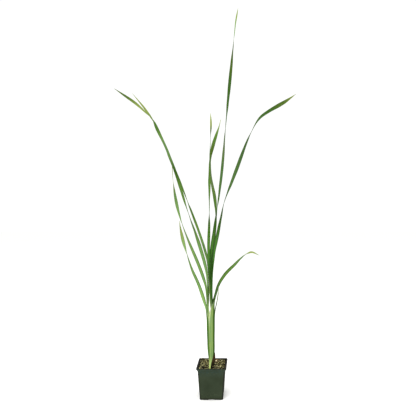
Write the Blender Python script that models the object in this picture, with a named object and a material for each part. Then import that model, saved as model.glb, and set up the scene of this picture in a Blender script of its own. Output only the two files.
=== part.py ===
"""A potted cattail: one slim shoot of ribbon leaves in two ranks, in a small square nursery pot of bark.

The origin is the middle of the pot's underside, with +Z up and the pot's front towards -Y. Lengths are in
metres. The leaves are laid out in millimetres in the fan's own frame: across to the right, depth away from
the front, and height. The fan stands turned a little in the pot.
"""

import math
import random
from collections import namedtuple

import bmesh
import bpy
from mathutils import Vector

MM = 0.001
CLEARANCE = 0.0004

# Pot
RIM_HALF = 0.0474
RIM_HEIGHT = 0.1003
LIP_HEIGHT = 0.0088
LIP_FLARE = 0.006
WALL_TOP_HALF = 0.043
BASE_HALF = 0.0366
WALL = 0.0014
FLOOR = 0.0045
CORNER_RADIUS = 0.0062
CORNER_STEPS = 4
EDGE_RADIUS = 0.0012
NOTCH_WIDTH = 0.027
NOTCH_RISE = 0.0024
NOTCH_DEPTH = 0.012
NOTCH_STEPS = 8
DRAIN_RADIUS = 0.0035
DRAIN_SIDES = 12
OVERCUT = 0.003

# Soil
SOIL_LEVEL = 0.0883
SOIL_CELLS = 18
CHIP_COUNT = 46
CHIP_SEED = 11
CHIP_REACH = 0.04
CHIP_HALF_LENGTH = (0.005, 0.009)
CHIP_HALF_WIDTH = (0.003, 0.005)
CHIP_RISE = (0.001, 0.0042)
CHIP_TILT = 0.3
HEAP_CENTRE = (-0.034, 0.034)
HEAP_REACH = 0.022
HEAP_RISE = 0.006
SLOPE_FRONT = -0.02
SLOPE_BACK = 0.04
SLOPE_RISE = 0.0075
BANK_FROM = 0.028
BANK_TO = 0.041
BANK_RISE = 0.0065
POCKET_RADIUS = 0.0074
POCKET_FLOOR = 0.0755
POCKET_DEPTH = 0.04
POCKET_SIDES = 14

# Fan
FAN_TURN = math.radians(5)
STEM_DEPTH = -15.0

# Outline of the sheathed stem, in mm: height, middle across, half width across, half depth
STEM_OUTLINE = (
    (76, -6.7, 3.6, 3.9),
    (90, -6.7, 3.7, 4.0),
    (100, -6.0, 4.1, 4.3),
    (111, -4.3, 5.8, 5.1),
    (123, -3.3, 8.4, 6.2),
    (136, -3.1, 10.6, 7.3),
    (150, -3.5, 11.5, 8.0),
    (187, -4.3, 12.2, 8.3),
    (215, -4.7, 12.9, 8.6),
    (245, -4.9, 13.2, 8.6),
)
FOOT_TOP = 100
FOOT_FADE = 20
SHEATH_TOP = 245
LEFT_OPENS = 245
RIGHT_OPENS = 250

# Each sheath further in is this much smaller across and in depth, in mm
STEP_ACROSS = 1.4
STEP_DEPTH = 1.15
SHEATH_THICK = 0.8
FOOT_THICK = 2.5
MARGIN_THICK = 0.45

# How far round the stem each rank's sheaths reach either way, in degrees, from the outside in
LEFT_WRAPS = (64, 80, 53, 53)
RIGHT_WRAPS = (110, 63, 63, 63, 63)
BLADE_WRAP = 45

# The blades are troughs where they stand close together, and flatten above
FULL_WIDTH = 9.5
TROUGH_SAG = 2.0
TROUGH_TOP = 400
FLAT_SAG = 0.8
FLAT_FROM = 480

# Fraction of the blade's length, and its thickness in mm
BLADE_THICKNESS = ((0, 1.0), (0.15, 1.5), (0.6, 1.3), (0.85, 0.9), (1, 0.4))
RING_STEP = 28
TURN_STEP = 32

GREEN_OUTER = (0.16, 0.27, 0.06, 1)
GREEN_INNER = (0.07, 0.16, 0.03, 1)
POT_GREEN = (0.05, 0.062, 0.047, 1)
BARK_BROWN = (0.13, 0.09, 0.045, 1)
DRY_BROWN = (0.16, 0.07, 0.03, 1)

# side is -1 for the left rank. The sheath begins at the height start, and the blade is open at full (mm).
Leaf = namedtuple("Leaf", "name side level start full columns route")
Ring = namedtuple("Ring", "centre turn tangent across depth wrap thick")

# Routes run from the top of the sheath to the tip: across, depth, height (mm), turn about the leaf's own
# length (degrees) and width (mm). At 0 turn the leaf is edge-on to the front, and at 90 it is face-on.
LEAVES = (
    Leaf("leaf_left_low", -1, 0, 76, 296, 5, (
        (-21.1, -15, 276, 8, 9), (-23.7, -16.3, 290, 48, 9.8), (-30.5, -19, 320, 84, 11),
        (-41.5, -25, 356, 95, 9.6), (-60.9, -33, 406.8, 130, 9), (-75.6, -41, 451.8, 180, 8.5),
        (-91.7, -50, 508.6, 270, 9.6), (-98.5, -55.5, 543.4, 305, 4.2), (-100.8, -58, 561.3, 330, 0.7),
    )),
    Leaf("leaf_left_middle", -1, 1, 123, 335, 7, (
        (-17.3, -15, 280, 0, 9), (-19.2, -15, 312, 7, 9.5), (-22.3, -15, 345, 28, 9.8),
        (-27.3, -14.5, 371, 72, 10), (-47.2, -12, 429.5, 95, 9.8), (-68.2, -8, 479.6, 130, 9.3),
        (-93.1, 0, 543.4, 180, 9), (-114.6, 9, 616.9, 270, 9.8), (-126.3, 15, 685.3, 360, 4.5),
        (-130, 20, 749.7, 440, 0.7),
    )),
    Leaf("leaf_left_arching", -1, 2, 136, 335, 5, (
        (-15.4, -15, 285, 0, 9), (-16.4, -15, 312, 0, 9.3), (-17, -15, 345, 12, 9.5),
        (-19.2, -15.5, 385, 34, 9.8), (-24.5, -16, 422.3, 72, 10.6), (-36.3, -19, 468.3, 88, 10.5),
        (-51.6, -23, 519.3, 140, 10.5), (-72.2, -28, 579.1, 180, 10.5), (-96.9, -35, 656.6, 255, 8.4),
        (-115.5, -40, 715.1, 300, 9), (-143.5, -45, 787.1, 312, 9.5), (-165.7, -48, 835.3, 283, 9.8),
        (-184, -50, 874.5, 180, 8.8), (-203.4, -51, 892.8, 145, 8.4), (-238.7, -53, 922.6, 100, 8.4),
        (-263, -54, 938.7, 75, 6.6), (-295.4, -55, 960.5, 60, 0.7),
    )),
    Leaf("leaf_left_rear", -1, 3, 150, 335, 5, (
        (-13.8, -15, 285, 0, 8.5), (-13.3, -15, 312, 0, 8.5), (-12.8, -13.2, 345, 10, 8.5),
        (-13, -5.5, 385, 32, 8.5), (-14.1, -5.2, 410.2, 47, 9.2), (-16.4, -4.7, 434.2, 60, 9.2),
        (-22.4, -5, 460.2, 70, 8.8), (-40.4, -5, 518.2, 95, 7.5), (-63.5, 0, 582.1, 132, 8.5),
        (-90.5, 6, 652.7, 218, 8.3), (-134.1, 14, 755.6, 280, 7.5), (-175.8, 19, 856, 360, 6.5),
        (-216.9, 21, 920.3, 420, 4.8), (-255.6, 20, 967.7, 470, 0.7),
    )),
    Leaf("leaf_right_low", 1, 0, 76, 335, 11, (
        (8.1, -15, 270, 0, 9), (7.4, -15, 290, 4, 9), (11.9, -17, 324, 45, 9.5),
        (22.4, -22, 360, 62, 9.8), (43.7, -28, 395, 80, 10), (69.7, -33, 423.1, 105, 9.5),
        (89, -37, 444, 140, 9), (104.5, -40, 455.9, 180, 8), (121, -43, 461.8, 240, 6),
        (146.7, -47, 451.5, 285, 0.7),
    )),
    Leaf("leaf_right_arching", 1, 1, 123, 335, 5, (
        (3.6, -15, 276, 0, 9), (1.7, -15, 307, 0, 9), (1.2, -15, 345, 0, 9.3),
        (1.9, -15, 380, 8, 9.5), (3.3, -14.5, 407.9, 20, 9.5), (5.1, -15, 429.9, 26, 9.8),
        (8.5, -16, 466.9, 45, 10), (16.3, -16, 511.9, 85, 10), (26.5, -16, 568.9, 140, 10),
        (37.3, -16.5, 620.1, 180, 9.5), (59.1, -18, 677.3, 236, 9.6), (79.1, -22, 728.7, 275, 11.2),
        (105, -28, 797.4, 318, 10.8), (126.1, -32, 845.1, 360, 9.5), (152.9, -37, 887, 410, 10.5),
        (175.6, -39, 903.7, 430, 11), (214, -42, 926.8, 450, 12), (227.3, -44, 934.7, 460, 10.4),
        (245.8, -45, 947.4, 475, 5.6), (263.8, -46, 960.5, 490, 0.7),
    )),
    Leaf("leaf_right_inner", 1, 2, 136, 335, 5, (
        (2.1, -15, 276, 0, 9), (0.1, -15, 307, 0, 9), (-1.1, -15, 345, 0, 9.3),
        (-0.6, -15, 380, 8, 9.5), (-0.5, -14, 408, 20, 9.5), (0.2, -11.5, 430, 24, 9.5),
        (1.7, -6.5, 450, 22, 9.5), (6.3, -3.5, 477.9, 16, 9.5), (11.8, -3, 523.9, 8, 9.5),
        (13, 1, 582, 30, 9.5), (6.9, 7, 640, 85, 10.5), (0.5, 11, 671, 105, 9),
        (-5.6, 15, 705, 120, 8), (-7.6, 20, 744.9, 145, 9), (-7.4, 26, 799.9, 168, 7.2),
        (-6.1, 30, 834.9, 184, 5.6), (-4.3, 34, 883.9, 250, 4.5), (-5.6, 38, 913.9, 270, 0.7),
    )),
    Leaf("leaf_tall", 1, 3, 150, 335, 5, (
        (0.4, -15, 276, 0, 9), (-2.4, -15, 307, 0, 9), (-3.5, -15, 345, 2, 9.3),
        (-3.2, -15, 380, 10, 9.5), (-4.4, -14.5, 408, 20, 9.5), (-4.8, -14, 430, 27, 9.6),
        (-1.9, -14.5, 474, 62, 9.8), (4.9, -18, 518, 90, 10), (12.2, -25, 585, 160, 9),
        (17.8, -28, 623, 204, 9), (30.1, -29, 718.3, 265, 8.8), (42.1, -22, 848.7, 355, 9),
        (57.3, -8, 1018.6, 450, 10), (69.4, 10, 1148.5, 540, 6.5), (76.7, 23, 1212, 590, 5),
        (80.9, 25.5, 1237.3, 610, 4.4), (85.3, 28, 1259.6, 620, 0.7),
    )),
    Leaf("leaf_centre", 1, 4, 187, 335, 5, (
        (-1.3, -15, 276, 0, 9), (-4.7, -15, 307, 0, 9), (-6, -15, 345, 4, 9.3),
        (-6.1, -15, 380, 10, 9.5), (-8.1, -15, 408.1, 22, 9.5), (-9.3, -15.5, 430.1, 32, 9.5),
        (-11.3, -17, 470.1, 66, 9.5), (-10.7, -20, 531, 110, 9), (-10.4, -24, 588, 180, 9),
        (-9.8, -28, 658, 225, 9), (-8.6, -29.5, 704.9, 302, 7.8), (-6.2, -30.5, 749.9, 324, 9),
        (2.6, -31.5, 797.1, 280, 10.8), (13.4, -33, 833.2, 252, 8), (21.2, -34, 857.4, 230, 3.8),
        (27.1, -35, 880.6, 220, 0.7),
    )),
)

# The sliver is a narrow leaf that lies on the outside of the stem's right flank, towards the back
SLIVER_WIDTH = 4.0
SLIVER_COLUMNS = 5
SLIVER_THICK = 0.7
SLIVER_SAG = 0.1
SLIVER_FLANK = 36
SLIVER_STANDOFF = 1.2
SLIVER_ROUTE = (
    (10.1, -9, 278, 38, 4), (15.7, -5, 303, 50, 3.6), (19.1, -2, 325, 62, 3.2), (20, 0, 343, 70, 1),
)

# Dry sheath rings, in mm and degrees: height, middle across, right edge, half depth, front angle, back angle
DRY_SHEATH = (
    (81, -7.0, -1.8, 5.3, 75, 12),
    (92, -7.0, -1.6, 5.5, 76, 12),
    (99, -6.4, 1.2, 6.0, 78, 4),
    (105, -5.4, 6.2, 6.9, 82, -5),
    (112, -4.4, 10.2, 7.7, 82, -10),
    (120, -3.9, 10.2, 8.3, 76, -12),
    (128, -3.5, 9.6, 8.9, 64, -8),
    (135, -3.2, 9.4, 9.2, 48, 2),
    (141, -3.1, 9.2, 9.4, 32, 18),
)
DRY_THICK = 0.6
DRY_COLUMNS = 6


def clear_scene():
    for obj in list(bpy.data.objects):
        bpy.data.objects.remove(obj, do_unlink=True)


def plain_material(name, colour, roughness):
    material = bpy.data.materials.new(name)
    material.use_nodes = True
    shader = material.node_tree.nodes["Principled BSDF"]
    shader.inputs["Base Color"].default_value = colour
    shader.inputs["Roughness"].default_value = roughness
    shader.inputs["Metallic"].default_value = 0.0
    return material


def add_object(name, bm, material, parent=None, sharp=35):
    """Turns the bmesh into an object with smooth faces, and sharp edges where it bends by over sharp."""
    bmesh.ops.recalc_face_normals(bm, faces=bm.faces)
    mesh = bpy.data.meshes.new(name)
    bm.to_mesh(mesh)
    bm.free()
    mesh.shade_smooth()
    mesh.set_sharp_from_angle(angle=math.radians(sharp))
    obj = bpy.data.objects.new(name, mesh)
    bpy.context.scene.collection.objects.link(obj)
    obj.data.materials.append(material)
    obj.parent = parent
    return obj


def cut(obj, cutter):
    cutter.hide_render = True
    cutter.display_type = "WIRE"
    modifier = obj.modifiers.new(cutter.name, "BOOLEAN")
    modifier.operation = "DIFFERENCE"
    modifier.object = cutter


def skin(bm, loops):
    """Joins closed loops of points into a tube with both ends filled."""
    rows = [[bm.verts.new(point) for point in loop] for loop in loops]
    for lower, upper in zip(rows, rows[1:]):
        for i in range(len(lower)):
            j = (i + 1) % len(lower)
            bm.faces.new((lower[i], lower[j], upper[j], upper[i]))
    bm.faces.new(rows[0][::-1])
    bm.faces.new(rows[-1])


def drum(bm, radius, sides, length):
    """An upright cylinder about the origin."""
    bmesh.ops.create_cone(bm, cap_ends=True, segments=sides, radius1=radius, radius2=radius, depth=length)


def between(table, key, column):
    """The value of a column of the table at this key, which is the table's first column."""
    for low, high in zip(table, table[1:]):
        if key <= high[0]:
            share = max(0.0, (key - low[0]) / (high[0] - low[0]))
            return low[column] + share * (high[column] - low[column])
    return table[-1][column]


def smooth_step(low, high, value):
    share = min(1.0, max(0.0, (value - low) / (high - low)))
    return share * share * (3 - 2 * share)


def mix(first, second, share):
    return first + (second - first) * share


# Pot


def rounded_square(half, radius, height):
    points = []
    for corner in range(4):
        across = half - radius if corner in (0, 3) else radius - half
        back = half - radius if corner in (0, 1) else radius - half
        for step in range(CORNER_STEPS + 1):
            angle = math.radians(90 * corner + 90 * step / CORNER_STEPS)
            points.append((across + radius * math.cos(angle), back + radius * math.sin(angle), height))
    return points


def wall_half(height):
    """Half the pot's outer width below the lip."""
    share = height / (RIM_HEIGHT - LIP_HEIGHT)
    return mix(BASE_HALF, WALL_TOP_HALF, share)


def inner_half(height):
    return wall_half(height) - WALL


def notch_cutter(name, side):
    """An arched prism that cuts a drain notch in the middle of one bottom edge."""
    radius = (NOTCH_WIDTH**2 / 4 + NOTCH_RISE**2) / (2 * NOTCH_RISE)
    half_angle = math.asin(NOTCH_WIDTH / 2 / radius)
    arch = [(-NOTCH_WIDTH / 2, -OVERCUT)]
    for step in range(NOTCH_STEPS + 1):
        angle = mix(-half_angle, half_angle, step / NOTCH_STEPS)
        arch.append((radius * math.sin(angle), NOTCH_RISE - radius + radius * math.cos(angle)))
    arch.append((NOTCH_WIDTH / 2, -OVERCUT))
    near, far = BASE_HALF - NOTCH_DEPTH, BASE_HALF + OVERCUT
    bm = bmesh.new()
    skin(bm, [[(x, y, z) for x, z in arch] for y in (near, far)])
    obj = add_object(name, bm, None)
    obj.rotation_euler.z = math.radians(90 * side)
    return obj


def drain_cutter(name, side):
    """A round drain hole at the inner end of a notch."""
    bm = bmesh.new()
    drum(bm, DRAIN_RADIUS, DRAIN_SIDES, 4 * FLOOR)
    obj = add_object(name, bm, None)
    angle = math.radians(90 * side)
    reach = BASE_HALF - NOTCH_DEPTH + DRAIN_RADIUS
    obj.location = (-reach * math.sin(angle), reach * math.cos(angle), 0)
    return obj


def make_pot():
    lip_low = RIM_HEIGHT - LIP_HEIGHT
    outer, inner = CORNER_RADIUS, CORNER_RADIUS - WALL
    rim_inner = inner_half(RIM_HEIGHT)
    loops = [
        rounded_square(BASE_HALF - EDGE_RADIUS, outer - EDGE_RADIUS, 0),
        rounded_square(wall_half(EDGE_RADIUS), outer, EDGE_RADIUS),
        rounded_square(WALL_TOP_HALF, outer, lip_low),
        rounded_square(RIM_HALF - EDGE_RADIUS / 6, outer, lip_low + LIP_FLARE),
        rounded_square(RIM_HALF, outer, RIM_HEIGHT - EDGE_RADIUS / 2),
        rounded_square(RIM_HALF - EDGE_RADIUS / 2, outer - EDGE_RADIUS / 2, RIM_HEIGHT),
        rounded_square(rim_inner, inner, RIM_HEIGHT),
        rounded_square(inner_half(FLOOR), inner, FLOOR),
    ]
    bm = bmesh.new()
    skin(bm, loops)
    pot = add_object("pot", bm, plain_material("pot_plastic", POT_GREEN, 0.5))
    for side in range(4):
        cut(pot, notch_cutter(f"notch_cutter_{side}", side))
        cut(pot, drain_cutter(f"drain_cutter_{side}", side))
    return pot


# Soil


def fan_point(across, depth, height):
    """A point of the fan's frame, given in mm, in the pot's frame."""
    x = across * math.cos(FAN_TURN) - depth * math.sin(FAN_TURN)
    y = across * math.sin(FAN_TURN) + depth * math.cos(FAN_TURN)
    return Vector((x * MM, y * MM, height * MM))


def bark_chips():
    """Tilted flat lumps: middle, half length, half width, direction, rise and tilt."""
    rng = random.Random(CHIP_SEED)
    chips = []
    for _ in range(CHIP_COUNT):
        middle = Vector((rng.uniform(-CHIP_REACH, CHIP_REACH), rng.uniform(-CHIP_REACH, CHIP_REACH)))
        length, width = rng.uniform(*CHIP_HALF_LENGTH), rng.uniform(*CHIP_HALF_WIDTH)
        direction, lift = rng.uniform(0, math.pi), rng.uniform(*CHIP_RISE)
        chips.append((middle, length, width, direction, lift, rng.uniform(-CHIP_TILT, CHIP_TILT)))
    return chips


def soil_height(x, y, chips):
    here = Vector((x, y))
    rise = 0.0
    for middle, length, width, direction, lift, tilt in chips:
        along = (here - middle).dot(Vector((math.cos(direction), math.sin(direction))))
        aside = (here - middle).dot(Vector((-math.sin(direction), math.cos(direction))))
        if abs(along) < length and abs(aside) < width:
            rise = max(rise, lift + tilt * along)
    heap = max(0.0, 1 - (here - Vector(HEAP_CENTRE)).length / HEAP_REACH)
    slope = min(1.0, max(0.0, (y - SLOPE_FRONT) / (SLOPE_BACK - SLOPE_FRONT)))
    bank = min(1.0, max(0.0, (-x - BANK_FROM) / (BANK_TO - BANK_FROM)))
    return SOIL_LEVEL + rise + max(SLOPE_RISE * slope, BANK_RISE * bank) + HEAP_RISE * heap**0.7


def make_soil():
    chips = bark_chips()
    corner = (1 - math.sqrt(0.5)) * CORNER_RADIUS
    bottom = FLOOR + CLEARANCE
    bm = bmesh.new()
    rows = []
    for j in range(SOIL_CELLS + 1):
        row = []
        for i in range(SOIL_CELLS + 1):
            u, v = 2 * i / SOIL_CELLS - 1, 2 * j / SOIL_CELLS - 1
            height = soil_height(u * inner_half(SOIL_LEVEL), v * inner_half(SOIL_LEVEL), chips)
            half = inner_half(height) - CLEARANCE
            if abs(u) == 1 and abs(v) == 1:
                half -= corner
            row.append(bm.verts.new((u * half, v * half, height)))
        rows.append(row)
    for lower, upper in zip(rows, rows[1:]):
        for i in range(SOIL_CELLS):
            bm.faces.new((lower[i], lower[i + 1], upper[i + 1], upper[i]))
    columns = list(zip(*rows))
    edge = rows[0][:-1] + list(columns[-1][:-1]) + rows[-1][:0:-1] + list(columns[0][:0:-1])
    low = []
    for vert in edge:
        shrink = (inner_half(bottom) - 2 * CLEARANCE) / (inner_half(vert.co.z) - CLEARANCE)
        low.append(bm.verts.new((vert.co.x * shrink, vert.co.y * shrink, bottom)))
    for i in range(len(edge)):
        j = (i + 1) % len(edge)
        bm.faces.new((edge[i], low[i], low[j], edge[j]))
    bm.faces.new(low)
    bmesh.ops.triangulate(bm, faces=bm.faces)
    soil = add_object("potting_soil", bm, plain_material("bark_mix", BARK_BROWN, 0.95), sharp=20)

    bm = bmesh.new()
    drum(bm, POCKET_RADIUS, POCKET_SIDES, POCKET_DEPTH)
    cutter = add_object("pocket_cutter", bm, None)
    cutter.location = fan_point(STEM_OUTLINE[0][1], STEM_DEPTH, (POCKET_FLOOR + POCKET_DEPTH / 2) / MM)
    cut(soil, cutter)
    return soil


# Leaves


def stem_size(height, level):
    """Middle across, half width and half depth of the sheath at this level, counted from the outside in."""
    middle, across, depth = (between(STEM_OUTLINE, height, column) for column in (1, 2, 3))
    return middle, across - STEP_ACROSS * level, depth - STEP_DEPTH * level


def sheath_keys(leaf):
    """Where the back of the leaf's sheath runs up the stem: across, depth, height, turn and width."""
    keys = []
    for height in [row[0] for row in STEM_OUTLINE if row[0] >= leaf.start]:
        middle, across, _ = stem_size(height, leaf.level)
        keys.append((middle + leaf.side * across, STEM_DEPTH, height, 0, leaf.route[0][4]))
    return keys


def place(key):
    return Vector(key[:3])


def smooth_slopes(keys, gaps):
    slopes = [(keys[1] - keys[0]) / gaps[0]]
    for i in range(1, len(keys) - 1):
        before = (keys[i] - keys[i - 1]) / gaps[i - 1]
        after = (keys[i + 1] - keys[i]) / gaps[i]
        slopes.append((before * gaps[i] + after * gaps[i - 1]) / (gaps[i - 1] + gaps[i]))
    slopes.append((keys[-1] - keys[-2]) / gaps[-1])
    return slopes


def smooth_route(keys, single_until):
    """Points on one smooth curve through the keys, but only the keys themselves up to single_until."""
    keys = [Vector(key) for key in keys]
    gaps = [(place(b) - place(a)).length for a, b in zip(keys, keys[1:])]
    slopes = smooth_slopes(keys, gaps)
    points = []
    for i, gap in enumerate(gaps):
        start, end = keys[i], keys[i + 1]
        parts = max(math.ceil(gap / RING_STEP), math.ceil(abs(end[3] - start[3]) / TURN_STEP))
        if end[2] <= single_until:
            parts = 1
        for part in range(parts):
            u = part / parts
            points.append(
                start * (2 * u**3 - 3 * u**2 + 1)
                + slopes[i] * gap * (u**3 - 2 * u**2 + u)
                + end * (3 * u**2 - 2 * u**3)
                + slopes[i + 1] * gap * (u**3 - u**2)
            )
    points.append(keys[-1])
    return points


def tangents(points):
    result = []
    for i in range(len(points)):
        ahead = place(points[min(i + 1, len(points) - 1)])
        behind = place(points[max(i - 1, 0)])
        result.append((ahead - behind).normalized())
    return result


def section(ring, side, columns):
    """The closed outline of a ring: out along its outer face and back along its inner face."""
    along = Vector((0, 1, 0))
    flat = (along - ring.tangent * along.dot(ring.tangent)).normalized()
    aside = ring.tangent.cross(flat)
    turn = math.radians(ring.turn)
    wide = flat * math.cos(turn) + aside * math.sin(turn)
    out = wide.cross(ring.tangent) * side
    outer, inner = [], []
    for column in range(columns):
        u = 2 * column / (columns - 1) - 1
        angle = math.radians(ring.wrap) * u
        normal = Vector((math.sin(angle) / ring.depth, math.cos(angle) / ring.across)).normalized()
        thick = mix(ring.thick, min(MARGIN_THICK, ring.thick), u**4)
        x = ring.depth * math.sin(angle)
        y = ring.across * (math.cos(angle) - 1)
        outer.append(ring.centre + wide * x + out * y)
        inner.append(ring.centre + wide * (x - thick * normal.x) + out * (y - thick * normal.y))
    return outer + inner[::-1]


def leaf_rings(leaf):
    """Rings that follow the stem's outline as a sheath, then open out into the blade."""
    points = smooth_route(sheath_keys(leaf) + list(leaf.route), SHEATH_TOP)
    directions = tangents(points)
    lengths = [0.0]
    for a, b in zip(points, points[1:]):
        lengths.append(lengths[-1] + (place(b) - place(a)).length)
    first = next(length for length, point in zip(lengths, points) if point[2] >= leaf.full)
    wraps, opens = (LEFT_WRAPS, LEFT_OPENS) if leaf.side < 0 else (RIGHT_WRAPS, RIGHT_OPENS)
    wrap = wraps[leaf.level]
    rings = []
    for point, direction, length in zip(points, directions, lengths):
        height, turn, width = point[2:]
        _, across, depth = stem_size(min(height, SHEATH_TOP), leaf.level)
        open_share = smooth_step(opens, leaf.full, height) if length < first else 1.0
        foot_share = 1 - smooth_step(FOOT_TOP, FOOT_TOP + FOOT_FADE, height) if leaf.level == 0 else 0.0
        blade_share = max(0.0, (length - first) / (lengths[-1] - first))
        thick = mix(SHEATH_THICK, between(BLADE_THICKNESS, blade_share, 1), open_share)
        angle = math.radians(BLADE_WRAP)
        trough = mix(TROUGH_SAG, FLAT_SAG, smooth_step(TROUGH_TOP, FLAT_FROM, height))
        sag = trough * width / FULL_WIDTH
        rings.append(Ring(
            centre=place(point),
            turn=turn,
            tangent=Vector((0, 0, 1)).lerp(direction, open_share).normalized(),
            across=mix(across, sag / (1 - math.cos(angle)), open_share),
            depth=mix(depth, width / 2 / math.sin(angle), open_share),
            wrap=mix(wrap, BLADE_WRAP, open_share),
            thick=mix(thick, FOOT_THICK, foot_share),
        ))
    return rings


def loft_leaf(name, rings, side, columns, material, parent):
    loops = [[point * MM for point in section(ring, side, columns)] for ring in rings]
    bm = bmesh.new()
    skin(bm, loops)
    return add_object(name, bm, material, parent, sharp=60)


def make_sliver(parent):
    flank = math.radians(SLIVER_FLANK)
    keys = []
    for height in [row[0] for row in STEM_OUTLINE]:
        middle, across, depth = stem_size(height, 0)
        across_out, depth_out = across + SLIVER_STANDOFF, depth + SLIVER_STANDOFF
        turn = math.degrees(math.atan2(math.sin(flank) / depth, math.cos(flank) / across))
        x = middle + across_out * math.cos(flank)
        y = STEM_DEPTH + depth_out * math.sin(flank)
        keys.append((x, y, height, turn, SLIVER_WIDTH))
    points = smooth_route(keys + list(SLIVER_ROUTE), SHEATH_TOP)
    rings = []
    angle = math.radians(BLADE_WRAP)
    for point, direction in zip(points, tangents(points)):
        half = point[4] / 2
        across, depth = SLIVER_SAG * half / (1 - math.cos(angle)), half / math.sin(angle)
        rings.append(Ring(place(point), point[3], direction, across, depth, BLADE_WRAP, SLIVER_THICK))
    material = plain_material("leaf_sliver_green", GREEN_INNER, 0.55)
    return loft_leaf("leaf_right_sliver", rings, 1, SLIVER_COLUMNS, material, parent)


def make_dry_sheath(parent):
    loops = []
    for height, middle, edge, depth, front, back in DRY_SHEATH:
        outer, inner = [], []
        for column in range(DRY_COLUMNS):
            angle = math.radians(mix(front, back, column / (DRY_COLUMNS - 1)))
            for points, inset in ((outer, 0), (inner, DRY_THICK)):
                x = middle + (edge - middle - inset) * math.cos(angle)
                y = STEM_DEPTH - (depth - inset) * math.sin(angle)
                points.append(Vector((x, y, height)) * MM)
        loops.append(outer + inner[::-1])
    bm = bmesh.new()
    skin(bm, loops)
    return add_object("dry_sheath", bm, plain_material("dry_sheath_brown", DRY_BROWN, 0.8), parent, sharp=60)


def make_fan():
    fan = bpy.data.objects.new("fan", None)
    bpy.context.scene.collection.objects.link(fan)
    fan.rotation_euler.z = FAN_TURN
    left = plain_material("leaf_green_outer", GREEN_OUTER, 0.5)
    right = plain_material("leaf_green_inner", GREEN_INNER, 0.5)
    for leaf in LEAVES:
        material = left if leaf.side < 0 else right
        loft_leaf(leaf.name, leaf_rings(leaf), leaf.side, leaf.columns, material, fan)
    make_sliver(fan)
    make_dry_sheath(fan)
    return fan


clear_scene()
make_pot()
make_soil()
make_fan()
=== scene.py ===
"""The dressed potted cattail: veined ribbon leaves and sheaths, a bark-filled nursery pot, camera and light.

The leaves keep close to the routes of their solids. They are given in millimetres in the fan's own frame:
across to the right, depth away from the front, and height. Everything else is in metres in the frame of the
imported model.
"""

import math
import random
from collections import namedtuple

import bmesh
import bpy
from mathutils import Matrix, Vector, noise


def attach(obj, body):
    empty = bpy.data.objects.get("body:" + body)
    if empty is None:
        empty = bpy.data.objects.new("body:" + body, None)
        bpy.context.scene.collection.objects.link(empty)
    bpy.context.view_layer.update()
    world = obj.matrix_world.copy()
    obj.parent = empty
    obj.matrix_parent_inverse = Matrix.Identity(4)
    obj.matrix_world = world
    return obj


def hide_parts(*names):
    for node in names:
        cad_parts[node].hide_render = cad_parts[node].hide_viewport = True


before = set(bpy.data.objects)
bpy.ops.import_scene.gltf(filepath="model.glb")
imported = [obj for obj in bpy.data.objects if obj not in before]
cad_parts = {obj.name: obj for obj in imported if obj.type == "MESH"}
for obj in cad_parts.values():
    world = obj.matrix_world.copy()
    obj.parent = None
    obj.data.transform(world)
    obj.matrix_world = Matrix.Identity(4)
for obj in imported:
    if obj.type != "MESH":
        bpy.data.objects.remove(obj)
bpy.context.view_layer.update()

MM = 0.001

# Pot
RIM_HALF = 0.0474
RIM_HEIGHT = 0.1003
LIP_HEIGHT = 0.0088
LIP_BOTTOM = RIM_HEIGHT - LIP_HEIGHT
LIP_FLARE = 0.006
WALL_TOP_HALF = 0.043
BASE_HALF = 0.0366
WALL = 0.0014
FLOOR = 0.0045
CORNER_RADIUS = 0.0062
CORNER_STEPS = 10
EDGE_RADIUS = 0.0012
NOTCH_WIDTH = 0.027
NOTCH_RISE = 0.0024
NOTCH_DEPTH = 0.012
NOTCH_STEPS = 24
DRAIN_RADIUS = 0.0035
DRAIN_SIDES = 32
DRAIN_SPAN = (-0.01, 0.01)
OVERCUT = 0.003

# Heights of the loops up the outer wall and down the inner wall, and how finely the edges are rounded
WALL_LOOPS = (0.02, 0.04, 0.06, 0.08, LIP_BOTTOM - 0.0006)
INNER_LOOPS = (0.09, FLOOR)
EDGE_LOOPS = 5
RIM_LOOPS = 4
RIM_INNER_RADIUS = 0.0004

# The swell of the lip: share of the way out from the wall, and share of the flare's height
LIP_STEP = 0.0003
LIP_SWELL = ((0.2, 0.16), (0.55, 0.5), (0.82, 0.8), (0.95, 1.0))

# Soil
SOIL_LEVEL = 0.0883
SOIL_CELLS = 110
SOIL_SINK = 0.0012
SOIL_BOTTOM = 0.07
SOIL_GAP = 0.0002
SOIL_ROUGH = 0.0009

# The bed is cut back in its corners: from this sum of the two shares of the half width, by so much
SOIL_CORNER_FROM = 1.86
SOIL_CORNER_CUT = 0.03

# Low flat lumps in the surface of the mix
BASE_CHIP_COUNT = 46
BASE_CHIP_SEED = 11
BASE_CHIP_REACH = 0.04
BASE_CHIP_HALF_LENGTH = (0.005, 0.009)
BASE_CHIP_HALF_WIDTH = (0.003, 0.005)
BASE_CHIP_RISE = (0.001, 0.0042)
BASE_CHIP_TILT = 0.3

# The surface heaps up at the back left, slopes up to the back and banks up against the left wall
HEAP_CENTRE = (-0.034, 0.034)
HEAP_REACH = 0.022
HEAP_RISE = 0.006
SLOPE_FRONT = -0.02
SLOPE_BACK = 0.04
SLOPE_RISE = 0.0075
BANK_FROM = 0.028
BANK_TO = 0.041
BANK_RISE = 0.0065

# Loose pieces: how many, the ranges of their length, width and thickness, their lean in radians, and how far
# they sink in
CHIPS = 1400
CHIP_SIZES = ((0.003, 0.008), (0.0018, 0.004), (0.0008, 0.002))
CHIP_LEAN = 0.6
CHIP_SINK = 0.0002
CRUMBS = 2200
CRUMB_SIZES = ((0.0012, 0.0035), (0.0008, 0.002), (0.0006, 0.0014))
CRUMB_LEAN = 1.2
CHIP_SEED = 5

# They lie within the pot's inside at this height, and keep off its wall and off the stem by these shares of
# their length
CHIP_LEVEL = 0.088
CHIP_OFF_WALL = 0.42
CHIP_OFF_STEM = 0.35

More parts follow.
